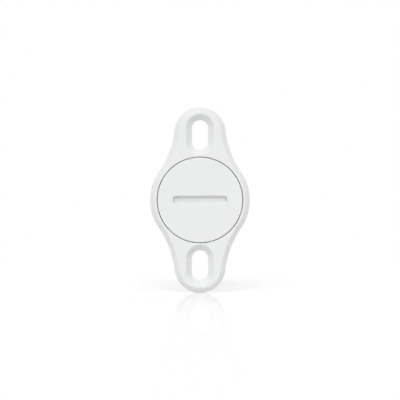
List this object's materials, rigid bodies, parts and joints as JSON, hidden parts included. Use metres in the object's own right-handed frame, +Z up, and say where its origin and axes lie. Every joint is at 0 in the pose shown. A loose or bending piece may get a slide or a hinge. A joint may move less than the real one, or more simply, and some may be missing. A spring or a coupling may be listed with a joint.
{
  "type": "recessed entry sensor",
  "caption": "White flush door sensor: eared plate with countersunk slots, round coin-slot battery cap, and a closed tube behind it that holds a lithium cell and a reed switch board.",
  "frame": {"origin": "centre of the plate's back face, on the axis of the tube, where the tube leaves the plate", "axes": "+Z up the plate's long side, +X across it to the right seen from the room, +Y along the tube into the drilled hole; the room is on the -Y side"},
  "size_m": [0.0232, 0.053, 0.0432],
  "materials": {
    "white_plastic": "fine satin moulded plastic",
    "sled_plastic": "plain moulded plastic",
    "seal_rubber": "matte rubber",
    "contact_steel": "bright nickel plating",
    "spring_wire": "drawn plated wire",
    "cell_can": "plated can",
    "cell_wrap": "shrink film, plain",
    "insulator_card": "pressed card",
    "board_laminate": "solder mask over woven laminate",
    "screw_steel": "zinc plated",
    "switch_black": "glass-filled moulding",
    "plunger_plastic": "moulded nylon",
    "lamp_epoxy": "cloudy epoxy",
    "switch_glass": "green tinted tube",
    "blade_metal": "plated blades",
    "chip_resin": "moulded resin",
    "tin_plate": "pressed tin plate",
    "bare_copper": "bare drawn wire",
    "ceramic_tan": "fired ceramic",
    "ceramic_black": "glazed film",
    "capacitor_can": "sleeved can"
  },
  "bodies": {
    "housing": {"faceplate": "white_plastic", "barrel": "white_plastic", "end_cap": "white_plastic", "sled": "sled_plastic", "main_board": "board_laminate", "board_screws": "screw_steel", "positive_leaf": "contact_steel", "negative_plate": "contact_steel", "switch_housing": "switch_black", "status_led": "lamp_epoxy", "reed_glass": "switch_glass", "reed_blades": "blade_metal", "controller_chip": "chip_resin", "radio_shield": "tin_plate", "antenna_wire": "bare_copper", "crystal": "tin_plate", "voltage_regulator": "chip_resin", "storage_capacitor": "capacitor_can", "chip_capacitors": "ceramic_tan", "chip_resistors": "ceramic_black"},
    "seal": {"cap_seal": "seal_rubber"},
    "cap": {"battery_cap": "white_plastic", "cap_contact": "contact_steel"},
    "battery": {"battery_can": "cell_can", "battery_sleeve": "cell_wrap", "battery_insulator": "insulator_card", "battery_nub": "cell_can", "negative_spring": "spring_wire"},
    "plunger": {"switch_plunger": "plunger_plastic"}
  },
  "joints": [
    {"name": "cap_rise", "type": "slide", "parent": "housing", "child": "seal", "axis": [0, -1, 0], "range_m": [0, 0.003]},
    {"name": "cap_turn", "type": "hinge", "parent": "seal", "child": "cap", "pos_m": [0, 0, 0], "axis": [0, -1, 0], "range_deg": [0, 180]},
    {"name": "battery_rise", "type": "slide", "parent": "housing", "child": "battery", "axis": [0, -1, 0], "range_m": [0, 0.003], "deforming": ["negative_spring"]},
    {"name": "button_press", "type": "slide", "parent": "housing", "child": "plunger", "axis": [0, 1, 0], "range_m": [0, 0.0003], "stiffness_N_per_m": 2000, "springref_m": -0.0003}
  ],
  "couplings": [
    {"joint": "cap_turn", "follows": "cap_rise", "rad_per_m": 1047.2},
    {"joint": "battery_rise", "follows": "cap_rise", "ratio": 1}
  ]
}
